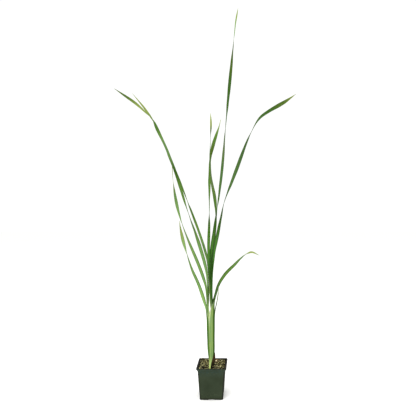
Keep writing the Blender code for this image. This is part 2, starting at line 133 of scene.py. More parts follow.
# The rings of a loose piece, from the bottom up: share of its outline, and height as a share of its thickness
CHIP_RINGS = ((0.82, -0.5), (1.0, -0.1), (0.93, 0.35))

# Tones of the loose pieces, and how often each comes up
BARK = (
    ("bark", 6),
    ("bark_dark", 11),
    ("bark_black", 16),
    ("bark_straw", 7),
    ("bark_tan", 3),
    ("bark_bleached", 4),
)

# To the right of the stem a broad slab leans from the mix to the back wall, with a bleached chip on it: place
# in the fan's frame, in mm, then length, width, thickness and tone
SLAB_TURN = math.radians(3)
SLAB_LEAN = math.radians(20.6)
SLABS = (
    ((14.5, 33, 97.0), 0.021, 0.0155, 0.0018, "slab"),
    ((13.5, 31, 97.3), 0.0075, 0.0055, 0.0014, "slab_chip"),
)

# Fan
FAN_TURN = math.radians(5)
STEM_DEPTH = -15.0
FOOT_MIDDLE = -7.0
FOOT_HALF = 4.0

# Outline of the sheathed stem, in mm: height, middle across, half width across, half depth
STEM_OUTLINE = (
    (76, -6.7, 3.6, 3.9),
    (90, -6.7, 3.7, 4.0),
    (100, -6.0, 4.1, 4.3),
    (111, -4.3, 5.8, 5.1),
    (123, -3.3, 8.4, 6.2),
    (136, -3.1, 10.6, 7.3),
    (150, -3.5, 11.5, 8.0),
    (187, -4.3, 12.2, 8.3),
    (215, -4.7, 12.9, 8.6),
    (245, -4.9, 13.2, 8.6),
)

# Heights in mm: where the thick foot ends and over how much it thins, where the stem's outline ends, and
# where the sheaths of each rank begin to open into blades
FOOT_TOP = 100
FOOT_FADE = 20
SHEATH_TOP = 245
LEFT_OPENS = 245
RIGHT_OPENS = 250

# How much narrower and shallower each sheath is than the one outside it, and how thick the leaf is, in mm
STEP_ACROSS = 1.4
STEP_DEPTH = 1.15
SHEATH_THICK = 0.8
FOOT_THICK = 2.5
MARGIN_THICK = 0.45

# Half the angle that each sheath wraps of the stem, from the outside in, and half the angle of a blade's
# trough
LEFT_WRAPS = (64, 80, 53, 53)
RIGHT_WRAPS = (110, 63, 63, 63, 63)
BLADE_WRAP = 45

# The trough across a blade of the full width, in mm: its depth up to one height, and from another height on
FULL_WIDTH = 9.5
TROUGH_SAG = 3.2
TROUGH_TOP = 400
FLAT_SAG = 0.8
FLAT_FROM = 480

# Thickness in mm by the share of the blade's length, and how far apart the rings are in mm and in degrees
BLADE_THICKNESS = ((0, 1.0), (0.15, 1.5), (0.6, 1.3), (0.85, 0.9), (1, 0.4))
RING_STEP = 4.5
TURN_STEP = 6
COLUMNS = 13

# Tones across a sheath, by the fraction of its half width from the keel to the margin. The dark keel and edge
# stripes are painted shade where the stem turns from the light.
LEFT_STRIPES = ((0, "keel"), (0.55, "keel"), (0.85, "flank"), (1, "fresh"))
INNER_STRIPES = ((0, "flank"), (0.6, "fresh"), (0.8, "pale"), (1, "pale"))
RIGHT_STRIPES = (
    (0, "edge"), (0.25, "edge"), (0.45, "keel"), (0.6, "leaf"), (0.7, "pale"), (0.8, "fresh"), (0.9, "fresh"),
    (0.97, "pale"),
)

# Where across a sheath its cream margin begins and is full, and between which heights, in mm, it comes in
CREAM_ACROSS = (0.85, 0.98)
CREAM_HEIGHTS = (215, 262)

# Between these heights, in mm, the pale foot passes into the green sheath
FOOT_HEIGHTS = (88, 135)

# How much lighter the outer face of a leaf is than its inner face
OUTER_LIGHT = 1.06

# The margins of the blades ripple a little: height and length of the ripple in mm, how far one margin is
# behind the other in radians, and the depth in mm under which the ripple dies away
RIPPLE = 0.3
RIPPLE_LENGTH = 61.0
RIPPLE_LAG = 1.9
RIPPLE_DEPTH = 5

# Low down the blades have a pale rib between darker margins, which fades out between these heights in mm
RIB_FADES = 480
RIB_TOP = 620
RIB_LIGHT = 1.2
MARGIN_LIGHT = 0.82
RIB_ACROSS = (0.3, 0.8)

# How much light falls on a face that is turned to the front, so that each tone comes out as it is named here
LIGHT = 1.8

# Tones, as they look under that light: natural colours, except those marked as painted shade
TONES = {
    "cream": (0.88, 0.94, 0.76),
    "pale": (0.67, 0.79, 0.50),
    "straw": (0.66, 0.73, 0.40),
    "tip": (0.55, 0.63, 0.30),
    "lime": (0.50, 0.66, 0.36),
    "fresh": (0.43, 0.59, 0.32),
    "leaf": (0.35, 0.51, 0.19),
    "deep": (0.29, 0.46, 0.13),
    "dark": (0.22, 0.38, 0.08),
    "grey": (0.41, 0.51, 0.32),
    # Painted shade for the keel, where the stem's sides turn from the light
    "keel": (0.22, 0.39, 0.08),
    "core": (0.28, 0.50, 0.17),
    "flank": (0.36, 0.52, 0.20),
    # Painted shade for the stem's right side, which turns from the light
    "edge": (0.20, 0.36, 0.06),
    "shade": (0.29, 0.435, 0.21),
    "olive": (0.31, 0.43, 0.13),
    "foot": (1.02, 1.13, 0.70),
    "dry_dark": (0.12, 0.07, 0.01),
    "dry_fibre": (0.36, 0.27, 0.12),
    "dry_bleached": (0.38, 0.36, 0.18),
    "dry_foot": (0.15, 0.14, 0.04),
    "pot_shade": (0.19, 0.235, 0.155),
    "pot": (0.225, 0.27, 0.19),
    "pot_band": (0.20, 0.28, 0.24),
    "pot_fleck": (0.5, 0.55, 0.5),
    "pot_lime": (0.38, 0.42, 0.31),
    # Painted shade along the pot's rounded bottom edge
    "pot_foot_shade": (0.13, 0.14, 0.06),
    # Soil stain on the top edge and inner wall of the pot, deepened as painted shade
    "pot_rim_stain_and_shade": (0.07, 0.06, 0.01),
    # Dark fines of the mix; in the bed they also stand as painted shade in the gaps between the chips
    "fines": (0.10, 0.085, 0.03),
    "bark": (0.56, 0.54, 0.34),
    "bark_dark": (0.22, 0.19, 0.06),
    "bark_black": (0.05, 0.04, 0.0),
    "bark_straw": (0.84, 0.81, 0.52),
    "bark_tan": (0.70, 0.62, 0.40),
    "bark_bleached": (1.15, 1.12, 0.86),
    "slab": (0.60, 0.45, 0.27),
    "slab_chip": (1.12, 1.07, 0.86),
}

# wrap is half the angle that a ring spans. open runs from 0 in the sheath to 1 in the blade.
Ring = namedtuple("Ring", "centre turn tangent across depth wrap thick open along")
Leaf = namedtuple("Leaf", "name side level start full tones route")

# side is -1 for the left rank. The sheath begins at the height start, and the blade is open at full (mm).
# Tones run up the leaf by height. Routes run from the top of the sheath to the tip: across, depth, height
# (mm), turn about the leaf's own length (degrees) and width (mm).
LEAVES = (
    Leaf("leaf_left_low", -1, 0, 76, 296,
        ((250, "fresh"), (300, "lime"), (400, "fresh"), (470, "lime"), (540, "tip"), (561, "straw")), (
        (-21.1, -15, 276, 8, 9), (-23.7, -16.3, 290, 48, 9.8), (-30.5, -19, 320, 84, 11),
        (-41.5, -25, 356, 95, 9.6), (-60.9, -33, 406.8, 130, 9), (-75.6, -41, 451.8, 180, 8.5),
        (-91.7, -50, 508.6, 270, 9.6), (-98.5, -55.5, 543.4, 305, 4.2), (-100.8, -58, 561.3, 330, 0.7),
    )),
    Leaf("leaf_left_middle", -1, 1, 123, 335,
        ((250, "leaf"), (400, "fresh"), (520, "lime"), (640, "fresh"), (700, "tip"), (751, "tip")), (
        (-17.3, -15, 280, 0, 9), (-19.2, -15, 312, 7, 9.5), (-22.3, -15, 345, 28, 9.8),
        (-27.3, -14.5, 371, 72, 10), (-47.2, -12, 429.5, 95, 9.8), (-68.2, -8, 479.6, 130, 9.3),
        (-93.1, 0, 543.4, 180, 9), (-114.6, 9, 616.9, 270, 9.8), (-126.3, 15, 685.3, 360, 5.6),
        (-130, 20, 749.7, 440, 0.7),
    )),
    Leaf("leaf_left_arching", -1, 2, 136, 335,
        ((250, "leaf"), (420, "fresh"), (600, "leaf"), (660, "leaf"), (715, "dark"), (760, "fresh"),
         (810, "fresh"), (850, "deep"), (905, "tip"), (940, "olive"), (968, "olive")), (
        (-15.4, -15, 285, 0, 9), (-16.4, -15, 312, 0, 9.3), (-17, -15, 345, 12, 9.5),
        (-19.2, -15.5, 385, 34, 9.8), (-24.5, -16, 422.3, 72, 10.6), (-36.3, -19, 468.3, 88, 10.5),
        (-51.6, -23, 519.3, 140, 10.5), (-72.2, -28, 579.1, 180, 10.5), (-96.9, -35, 656.6, 255, 8.4),
        (-115.5, -40, 715.1, 300, 9), (-143.5, -45, 787.1, 312, 9.5), (-165.7, -48, 835.3, 283, 9.8),
        (-184, -50, 874.5, 180, 8.8), (-203.4, -51, 892.8, 145, 8.4), (-238.7, -53, 922.6, 100, 8.4),
        (-263, -54, 938.7, 75, 6.6), (-295.4, -54.95, 960.5, 60, 0.7),
    )),
    Leaf("leaf_left_rear", -1, 3, 150, 335,
        ((250, "leaf"), (440, "fresh"), (600, "leaf"), (750, "deep"), (850, "leaf"), (920, "tip"),
         (974, "tip")), (
        (-13.8, -15, 285, 0, 8.5), (-13.3, -15, 312, 0, 8.5), (-12.8, -13.2, 345, 10, 8.5),
        (-13, -5.5, 385, 32, 8.5), (-14.1, -5.2, 410.2, 47, 9.2), (-16.4, -4.7, 434.2, 60, 9.2),
        (-22.4, -5, 460.2, 70, 8.8), (-40.4, -5, 518.2, 95, 7.5), (-63.5, 0, 582.1, 132, 8.5),
        (-90.5, 6, 652.7, 218, 8.3), (-134.1, 14, 755.6, 280, 7.5), (-175.8, 19, 856, 360, 6.5),
        (-216.9, 21, 920.3, 440, 6.2), (-255.6, 20, 967.7, 470, 0.7),
    )),
    Leaf("leaf_right_low", 1, 0, 76, 335,
        ((250, "deep"), (330, "shade"), (400, "leaf"), (450, "fresh"), (463, "tip")), (
        (8.1, -15, 270, 0, 9), (7.4, -15, 290, 4, 9), (11.9, -17, 324, 45, 9.5),
        (22.4, -22, 360, 62, 9.8), (43.7, -28, 395, 80, 10), (69.7, -33, 423.1, 105, 9.5),
        (89, -37, 444, 140, 9), (104.5, -40, 455.9, 180, 8), (121, -43, 461.8, 240, 6),
        (146.7, -47, 451.5, 285, 0.7),
    )),
    Leaf("leaf_right_arching", 1, 1, 123, 335,
        ((250, "core"), (440, "core"), (560, "dark"), (640, "shade"), (860, "shade"),
         (905, "dark"), (930, "olive"), (954, "tip")), (
        (3.6, -15, 276, 0, 9), (1.7, -15, 307, 0, 9), (1.2, -15, 345, 0, 9.3),
        (1.9, -15, 380, 8, 9.5), (3.3, -14.5, 407.9, 27, 9.5), (5.1, -15, 429.9, 35, 9.8),
        (8.5, -16, 466.9, 45, 10), (16.3, -16, 511.9, 85, 10), (26.5, -16, 568.9, 140, 10),
        (37.3, -16.5, 620.1, 180, 9.5), (59.1, -18, 677.3, 236, 9.6), (79.1, -22, 728.7, 275, 11.2),
        (105, -28, 797.4, 318, 10.8), (126.1, -32, 845.1, 360, 9.5), (152.9, -37, 887, 410, 10.5),
        (175.6, -39, 903.7, 430, 11), (214, -42, 926.8, 450, 12), (227.3, -44, 934.7, 460, 10.4),
        (245.8, -45, 947.4, 475, 5.6), (263.8, -46, 960.5, 490, 0.7),
    )),
    Leaf("leaf_right_inner", 1, 2, 136, 335,
        ((250, "core"), (440, "core"), (560, "deep"), (620, "leaf"), (700, "grey"), (780, "fresh"),
         (850, "olive"), (880, "tip"), (914, "straw")), (
        (2.1, -15, 276, 0, 9), (0.1, -15, 307, 0, 9), (-1.1, -15, 345, 0, 9.3),
        (-0.6, -15, 380, 8, 9.5), (-0.5, -14, 408, 26, 9.5), (0.2, -11.5, 430, 28, 9.5),
        (1.7, -6.5, 450, 34, 9.5), (6.3, -3.5, 477.9, 32, 9.5), (11.8, -3, 523.9, 14, 9.5),
        (13, 1, 582, 30, 9.5), (6.9, 7, 640, 85, 10.5), (0.5, 11, 671, 105, 9),
        (-5.6, 15, 705, 120, 8), (-7.6, 20, 744.9, 145, 9), (-7.4, 26, 799.9, 168, 7.8),
        (-6.1, 30, 834.9, 190, 6.2), (-4.3, 34, 883.9, 250, 6.2), (-5.6, 38, 913.9, 275, 0.7),
    )),
    Leaf("leaf_tall", 1, 3, 150, 335,
        ((250, "core"), (440, "core"), (540, "dark"), (660, "shade"), (720, "shade"), (800, "grey"),
         (880, "shade"), (940, "dark"), (1000, "dark"), (1060, "olive"), (1120, "olive"), (1180, "lime"),
         (1256, "tip")), (
        (0.4, -15, 276, 0, 9), (-2.4, -15, 307, 0, 9), (-3.5, -15, 345, 2, 9.3),
        (-3.2, -15, 380, 10, 9.5), (-4.4, -14.5, 408, 20, 9.5), (-4.8, -14, 430, 27, 9.6),
        (-1.9, -14.5, 474, 62, 9.8), (4.9, -18, 518, 90, 10), (12.2, -25, 585, 160, 9),
        (17.8, -28, 623, 204, 9), (30.1, -29, 718.3, 265, 8.8), (42.1, -22, 848.7, 355, 9),
        (57.3, -8, 1018.6, 450, 10), (69.4, 10, 1148.5, 540, 6.5), (76.7, 23, 1212, 590, 5),
        (80.9, 25.5, 1237.3, 610, 4.4), (85.3, 28, 1259.6, 620, 0.7),
    )),
    Leaf("leaf_centre", 1, 4, 187, 335,
        ((250, "cream"), (330, "pale"), (385, "core"), (560, "deep"), (700, "leaf"), (730, "leaf"),
         (780, "olive"), (830, "leaf"), (880, "straw")), (
        (-1.3, -15, 276, 0, 9), (-4.7, -15, 307, 0, 9), (-6, -15, 345, 4, 9.3),
        (-6.1, -15, 380, 10, 9.5), (-8.1, -15, 408.1, 22, 9.5), (-9.3, -15.5, 430.1, 32, 9.5),
        (-11.3, -17, 470.1, 66, 9.5), (-10.7, -20, 531, 110, 9), (-10.4, -24, 588, 180, 9),
        (-9.8, -28, 658, 225, 9), (-8.6, -29.5, 704.9, 302, 7.8), (-6.2, -30.5, 749.9, 324, 9),
        (2.6, -31.5, 797.1, 280, 10.8), (13.4, -33, 833.2, 252, 8), (21.2, -34, 857.4, 230, 3.8),
        (27.1, -35, 880.6, 220, 0.7),
    )),
)

# The sliver is a narrow leaf that lies on the outside of the stem's right flank, towards the back
SLIVER_WIDTH = 4.0
SLIVER_COLUMNS = 9
SLIVER_THICK = 0.7
SLIVER_SAG = 0.1
SLIVER_FLANK = 36
SLIVER_STANDOFF = 1.2
SLIVER_TONES = ((100, "pale"), (200, "leaf"), (280, "grey"), (343, "cream"))
SLIVER_ROUTE = (
    (10.1, -9, 278, 38, 4), (15.7, -5, 303, 50, 3.6), (19.1, -2, 325, 62, 3.2), (20, 0, 343, 70, 1),
)

# Dry sheath rings, in mm and degrees: height, middle across, right edge, half depth, front angle, back angle
DRY_SHEATH = (
    (81, -7.0, -1.8, 5.3, 75, 12),
    (92, -7.0, -1.6, 5.5, 76, 12),
    (99, -6.4, 1.2, 6.0, 78, 4),
    (105, -5.4, 6.2, 6.9, 82, -5),
    (112, -4.4, 10.2, 7.7, 82, -10),
    (120, -3.9, 10.2, 8.3, 76, -12),
    (128, -3.5, 9.6, 8.9, 64, -8),
    (135, -3.2, 9.4, 9.2, 48, 2),
    (141, -3.1, 9.2, 9.4, 32, 18),
)
DRY_THICK = 0.6
DRY_COLUMNS = 15
DRY_STEP = 1.6

# How far, in mm, the dry sheath curls and crinkles, and how ragged its top is
DRY_CURL = 0.9
DRY_CRINKLE = 0.35
DRY_RAGGED = 2.6

# The dry sheath's material brings its own tones, and its points carry this plain brown
DRY_BROWN = (0.2, 0.1, 0.05)

# Camera and light: where, how large and how strong
LENS = 35
SENSOR = 36
CAMERA_SHIFT = -37 / 416
CAMERA_PLACE = (0.1052, -1.3, 0.600)
LIGHTS = (("key", (-1.2, -2.3, 1.5), 2.2, 52), ("top", (0.1, -0.3, 2.6), 2.2, 26))
LIGHTS_AIM = (0, 0, 0.45)
SKY = 1.05
FLOOR_REACH = 9.0
FLOOR_DROP = 0.0002
FLOOR_COLOUR = (0.96, 0.955, 0.94, 1)


def between(table, key, column):
    """The value of a column of the table at this key, which is the table's first column."""
    for low, high in zip(table, table[1:]):
        if key <= high[0]:
            share = max(0.0, (key - low[0]) / (high[0] - low[0]))
            return low[column] + share * (high[column] - low[column])
    return table[-1][column]


def smooth_step(low, high, value):
    share = min(1.0, max(0.0, (value - low) / (high - low)))
    return share * share * (3 - 2 * share)


def mix(first, second, share):
    return first + (second - first) * share


def tone(name):
    """The base colour, in scene-linear values, of a surface that has this tone under the scene's light."""
    return Vector([(c / 12.92 if c < 0.04045 else ((c + 0.055) / 1.055) ** 2.4) / LIGHT for c in TONES[name]])


def tone_at(stops, height):
    for (low, first), (high, second) in zip(stops, stops[1:]):
        if height <= high:
            return tone(first).lerp(tone(second), smooth_step(low, high, height))
    return tone(stops[-1][1])


# Pieces


class Shape:
    """The points and faces of one piece, with each point's tone and its place in the grain."""

    def __init__(self):
        self.points, self.faces, self.tones, self.grains = [], [], [], []

    def add(self, point, colour, grain):
        self.points.append(tuple(point))
        self.tones.append((*colour, 1.0))
        self.grains.append(tuple(grain))
        return len(self.points) - 1

    def skin(self, rows):
        """Faces between each closed row of points and the next one."""
        for lower, upper in zip(rows, rows[1:]):
            for i in range(len(lower)):
                j = (i + 1) % len(lower)
                self.faces.append((lower[i], lower[j], upper[j], upper[i]))

    def build(self, name, material, slot, *nodes, sharp=50):
        mesh = bpy.data.meshes.new(name)
        mesh.from_pydata(self.points, [], self.faces)
        colours = mesh.attributes.new("tone", "FLOAT_COLOR", "POINT")
        colours.data.foreach_set("color", [c for one in self.tones for c in one])
        grains = mesh.attributes.new("grain", "FLOAT_VECTOR", "POINT")
        grains.data.foreach_set("vector", [c for one in self.grains for c in one])
        bm = bmesh.new()
        bm.from_mesh(mesh)
        bmesh.ops.recalc_face_normals(bm, faces=bm.faces)
        bm.to_mesh(mesh)
        bm.free()
        mesh.shade_smooth()
        mesh.set_sharp_from_angle(angle=math.radians(sharp))
        dress(bpy.data.objects.new(name, mesh), material, slot, *nodes)


def dress(obj, material, slot, *nodes):
    if obj.name not in bpy.context.scene.collection.objects:
        bpy.context.scene.collection.objects.link(obj)
    obj.data.materials.clear()
    obj.data.materials.append(material)
    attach(obj, "root")
    if nodes:
        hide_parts(*nodes)


# Materials


class Nodes:
    """Short names for building one material's node tree."""

    def __init__(self, name, specular):
        self.material = bpy.data.materials.new(name)
        self.material.use_nodes = True
        self.tree = self.material.node_tree
        self.shader = self.tree.nodes["Principled BSDF"]
        self.shader.inputs["Specular IOR Level"].default_value = specular

    def put(self, socket, value):
        if isinstance(value, bpy.types.NodeSocket):
            self.tree.links.new(value, socket)
        else:
            socket.default_value = value

    def add(self, kind, **inputs):
        node = self.tree.nodes.new(kind)
        for name, value in inputs.items():
            self.put(node.inputs[name.replace("_", " ")], value)
        return node

    def attribute(self, name, output):
        node = self.tree.nodes.new("ShaderNodeAttribute")
        node.attribute_name = name
        return node.outputs[output]

    def place(self):
        return self.add("ShaderNodeTexCoord").outputs["Object"]

    def scaled(self, vector, scale):
        node = self.tree.nodes.new("ShaderNodeVectorMath")
        node.operation = "MULTIPLY"
        self.put(node.inputs[0], vector)
        node.inputs[1].default_value = scale
        return node.outputs[0]

    def noise(self, vector, scale, detail=3.0, roughness=0.55):
        node = self.add("ShaderNodeTexNoise", Vector=vector, Scale=scale, Detail=detail, Roughness=roughness)
        return node.outputs["Fac"]

    def range(self, value, low, high, to_low=0.0, to_high=1.0):
        node = self.tree.nodes.new("ShaderNodeMapRange")
        for i, v in enumerate((value, low, high, to_low, to_high)):
            self.put(node.inputs[i], v)
        return node.outputs[0]

    def math(self, kind, first, second=0.0):
        node = self.tree.nodes.new("ShaderNodeMath")
        node.operation = kind
        self.put(node.inputs[0], first)
        self.put(node.inputs[1], second)
        return node.outputs[0]

    def blend(self, kind, share, first, second):
        node = self.tree.nodes.new("ShaderNodeMix")
        node.data_type = "RGBA"
        node.blend_type = kind
        self.put(node.inputs[0], share)
        for socket, value in ((node.inputs[6], first), (node.inputs[7], second)):
            self.put(socket, (*value, 1.0) if isinstance(value, Vector) else value)
        return node.outputs[2]

    def grey(self, value):
        node = self.tree.nodes.new("ShaderNodeCombineColor")
        for socket in node.inputs:
            self.put(socket, value)
        return node.outputs[0]

    def bump(self, height, strength, distance, under=None):
        node = self.add("ShaderNodeBump", Height=height, Strength=strength, Distance=distance)
        if under is not None:
            self.put(node.inputs["Normal"], under)
        return node.outputs[0]

    def finish(self, colour, roughness, normal):
        self.put(self.shader.inputs["Base Color"], colour)
        self.put(self.shader.inputs["Roughness"], roughness)
        self.put(self.shader.inputs["Normal"], normal)
        return self.material


def leaf_material(name, specular):
    """Parallel veins along the leaf, soft blotches, and a satin surface with fine ribs."""
    n = Nodes(name, specular=specular)
    grain = n.attribute("grain", "Vector")
    veins = n.noise(n.scaled(grain, (1600, 14, 1)), 1.0, 4.0, 0.6)
    threads = n.noise(n.scaled(grain, (4200, 22, 1)), 1.0, 2.0, 0.5)
    blotches = n.noise(n.scaled(grain, (120, 26, 1)), 1.0, 3.0, 0.55)
    colour = n.attribute("tone", "Color")
    colour = n.blend("MULTIPLY", 1.0, colour, n.grey(n.range(veins, 0.3, 0.7, 0.86, 1.14)))
    colour = n.blend("MULTIPLY", 1.0, colour, n.grey(n.range(threads, 0.3, 0.7, 0.93, 1.07)))
    yellow = n.blend("MULTIPLY", 1.0, colour, Vector((1.22, 1.08, 0.8)))
    colour = n.blend("MIX", n.range(blotches, 0.42, 0.72), colour, yellow)
    ribs = n.math("ADD", n.math("MULTIPLY", veins, 0.7), n.math("MULTIPLY", threads, 0.3))
    return n.finish(colour, n.range(blotches, 0.3, 0.7, 0.5, 0.64), n.bump(ribs, 0.5, 0.0004))


def dry_material():
    """Papery brown sheath: streaked fibres, pale where it has bleached."""
    n = Nodes("dry_sheath_papery", specular=0.15)
    grain = n.attribute("grain", "Vector")
    fibres = n.noise(n.scaled(grain, (900, 30, 1)), 1.0, 4.0, 0.65)
    spots = n.noise(n.scaled(grain, (160, 90, 1)), 1.0, 3.0, 0.6)
    height = n.add("ShaderNodeSeparateXYZ", Vector=n.place()).outputs[2]
    colour = n.blend("MIX", n.range(fibres, 0.38, 0.66), tone("dry_dark"), tone("dry_fibre"))
    colour = n.blend("MIX", n.range(spots, 0.56, 0.72), colour, tone("dry_bleached"))
    colour = n.blend("MIX", n.range(height, 0.118, 0.108, 0.0, 0.8), colour, tone("dry_foot"))
    return n.finish(colour, n.range(spots, 0.3, 0.7, 0.7, 0.9), n.bump(fibres, 0.8, 0.0008))


def pot_material():
    """Thin moulded plastic: dusty, water-marked band round the top, scuffs and lime specks low down, painted
    shade at the foot, and a soil stain with painted shade on the top edge and inner wall.
    """
    n = Nodes("pot_plastic_moulded", specular=0.1)
    place = n.place()
    across, depth, height = n.add("ShaderNodeSeparateXYZ", Vector=place).outputs
    # The inner wall and the top edge are masked for a soil stain that also serves as painted shade inside the
    # pot
    reach = n.math("MAXIMUM", n.math("ABSOLUTE", across), n.math("ABSOLUTE", depth))
    taper = (WALL_TOP_HALF - BASE_HALF) / LIP_BOTTOM
    outward = n.math("SUBTRACT", reach, n.math("MULTIPLY", height, taper))
    inside = n.range(outward, BASE_HALF - 0.0005, BASE_HALF - 0.0009)
    rim_stain_and_shade = n.math("MAXIMUM", inside, n.range(height, RIM_HEIGHT - 0.0006, RIM_HEIGHT - 0.0001))
    broad = n.noise(place, 26.0, 2.0)
    mottle = n.noise(place, 240.0, 4.0, 0.6)
    specks = n.noise(place, 620.0, 3.0, 0.6)
    colour = n.blend("MIX", n.range(broad, 0.35, 0.65), tone("pot_shade"), tone("pot"))
    band = n.math("MULTIPLY", n.range(height, 0.072, 0.086), n.range(mottle, 0.44, 0.56, 0.0, 1.0))
    colour = n.blend("MIX", n.math("MULTIPLY", band, 0.75), colour, tone("pot_band"))
    flecks = n.math("MULTIPLY", n.range(specks, 0.6, 0.68), n.range(height, 0.07, 0.092, 0.0, 0.5))
    colour = n.blend("MIX", flecks, colour, tone("pot_fleck"))
    low = n.math("MULTIPLY", n.range(height, 0.03, 0.016), n.range(mottle, 0.52, 0.66, 0.0, 0.55))
    colour = n.blend("MIX", low, colour, tone("pot_lime"))
    # Painted shade: the wall darkens towards the pot's rounded bottom edge
    foot = n.range(height, 0.008, 0.002, 0.0, 0.8)
    colour = n.blend("MIX", foot, colour, tone("pot_foot_shade"))
    # Soil stain and painted shade: the top edge and the inner wall go near-black
    colour = n.blend("MIX", rim_stain_and_shade, colour, tone("pot_rim_stain_and_shade"))
    roughness = n.range(mottle, 0.3, 0.7, 0.5, 0.66)
    fine = n.bump(specks, 0.25, 0.0002)
    return n.finish(colour, roughness, n.bump(broad, 0.25, 0.002, fine))


def bark_material(name):
    """Weathered bark and fibre: each lump has its own tone, with grain, grime and a rough surface."""
    n = Nodes(name, specular=0.2)
    grain = n.attribute("grain", "Vector")
    fibres = n.noise(n.scaled(grain, (500, 2200, 500)), 1.0, 4.0, 0.65)
    grime = n.noise(n.place(), 420.0, 4.0, 0.65)
    colour = n.attribute("tone", "Color")
    colour = n.blend("MULTIPLY", 1.0, colour, n.grey(n.range(fibres, 0.3, 0.7, 0.7, 1.3)))
    colour = n.blend("MIX", n.range(grime, 0.52, 0.66, 0.0, 0.7), colour, tone("fines"))
    return n.finish(colour, n.range(grime, 0.3, 0.7, 0.95, 0.8), n.bump(fibres, 0.8, 0.0008))


# Leaves


def fan_point(across, depth, height):
    """A point of the fan's frame, given in mm, in the pot's frame."""
    x = across * math.cos(FAN_TURN) - depth * math.sin(FAN_TURN)
    y = across * math.sin(FAN_TURN) + depth * math.cos(FAN_TURN)
    return Vector((x * MM, y * MM, height * MM))


def stem_size(height, level):
    """Middle across, half width and half depth of the sheath at this level, counted from the outside in."""
    middle, across, depth = (between(STEM_OUTLINE, height, column) for column in (1, 2, 3))
    return middle, across - STEP_ACROSS * level, depth - STEP_DEPTH * level


def sheath_keys(leaf):
    """Where the back of the leaf's sheath runs up the stem: across, depth, height, turn and width."""
    keys = []
    for height in [row[0] for row in STEM_OUTLINE if row[0] >= leaf.start]:
        middle, across, _ = stem_size(height, leaf.level)
        keys.append((middle + leaf.side * across, STEM_DEPTH, height, 0, leaf.route[0][4]))
    return keys


def place(key):
    return Vector(key[:3])


def smooth_slopes(keys, gaps):
    slopes = [(keys[1] - keys[0]) / gaps[0]]
    for i in range(1, len(keys) - 1):
        before = (keys[i] - keys[i - 1]) / gaps[i - 1]
        after = (keys[i + 1] - keys[i]) / gaps[i]
        slopes.append((before * gaps[i] + after * gaps[i - 1]) / (gaps[i - 1] + gaps[i]))
    slopes.append((keys[-1] - keys[-2]) / gaps[-1])
    return slopes


def smooth_route(keys):
    """Closely spaced points on one smooth curve through the keys."""
    keys = [Vector(key) for key in keys]
    gaps = [(place(b) - place(a)).length for a, b in zip(keys, keys[1:])]
    slopes = smooth_slopes(keys, gaps)
    points = []
    for i, gap in enumerate(gaps):
        start, end = keys[i], keys[i + 1]
        parts = max(math.ceil(gap / RING_STEP), math.ceil(abs(end[3] - start[3]) / TURN_STEP))
        for part in range(parts):
            u = part / parts
            points.append(
                start * (2 * u**3 - 3 * u**2 + 1)
                + slopes[i] * gap * (u**3 - 2 * u**2 + u)
                + end * (3 * u**2 - 2 * u**3)
                + slopes[i + 1] * gap * (u**3 - u**2)
            )
    points.append(keys[-1])
    return points


def tangents(points):
    result = []
    for i in range(len(points)):
        ahead = place(points[min(i + 1, len(points) - 1)])
        behind = place(points[max(i - 1, 0)])
        result.append((ahead - behind).normalized())
    return result


def section(ring, side, columns, seed):
    """A ring's closed outline, as (point, u, inner): along its outer face and back along its inner face."""
    along = Vector((0, 1, 0))
    flat = (along - ring.tangent * along.dot(ring.tangent)).normalized()
    aside = ring.tangent.cross(flat)
    turn = math.radians(ring.turn)
    wide = flat * math.cos(turn) + aside * math.sin(turn)
    out = wide.cross(ring.tangent) * side
    outer, inner = [], []
    for column in range(columns):
        u = 2 * column / (columns - 1) - 1
        angle = math.radians(ring.wrap) * u
        normal = Vector((math.sin(angle) / ring.depth, math.cos(angle) / ring.across)).normalized()
        thick = mix(ring.thick, min(MARGIN_THICK, ring.thick), u**4)
        x = ring.depth * math.sin(angle)
        y = ring.across * (math.cos(angle) - 1)
        wave = math.sin(2 * math.pi * ring.along / RIPPLE_LENGTH + seed + RIPPLE_LAG * (u > 0))
        y += RIPPLE * ring.open * wave * u * u * min(1.0, ring.depth / RIPPLE_DEPTH)
        outer.append((ring.centre + wide * x + out * y, u, 0))
        inner.append((ring.centre + wide * (x - thick * normal.x) + out * (y - thick * normal.y), u, 1))
    return outer + inner[::-1]


def leaf_rings(leaf):
    """Rings that follow the stem's outline as a sheath, then open out into the blade."""
    points = smooth_route(sheath_keys(leaf) + list(leaf.route))
    directions = tangents(points)
    lengths = [0.0]
    for a, b in zip(points, points[1:]):
        lengths.append(lengths[-1] + (place(b) - place(a)).length)
    first = next(length for length, point in zip(lengths, points) if point[2] >= leaf.full)
    wraps, opens = (LEFT_WRAPS, LEFT_OPENS) if leaf.side < 0 else (RIGHT_WRAPS, RIGHT_OPENS)
    wrap = wraps[leaf.level]
    angle = math.radians(BLADE_WRAP)
    rings = []
    for point, direction, length in zip(points, directions, lengths):
        height, turn, width = point[2:]
        _, across, depth = stem_size(min(height, SHEATH_TOP), leaf.level)
        open_share = smooth_step(opens, leaf.full, height) if length < first else 1.0
        foot_share = 1 - smooth_step(FOOT_TOP, FOOT_TOP + FOOT_FADE, height) if leaf.level == 0 else 0.0
        blade_share = max(0.0, (length - first) / (lengths[-1] - first))
        thick = mix(SHEATH_THICK, between(BLADE_THICKNESS, blade_share, 1), open_share)
        trough = mix(TROUGH_SAG, FLAT_SAG, smooth_step(TROUGH_TOP, FLAT_FROM, height))
        sag = trough * width / FULL_WIDTH
        rings.append(Ring(
            centre=place(point),
            turn=turn,
            tangent=Vector((0, 0, 1)).lerp(direction, open_share).normalized(),
            across=mix(across, sag / (1 - math.cos(angle)), open_share),
            depth=mix(depth, width / 2 / math.sin(angle), open_share),
            wrap=mix(wrap, BLADE_WRAP, open_share),
            thick=mix(thick, FOOT_THICK, foot_share),
            open=open_share,
            along=length,
        ))
    return rings


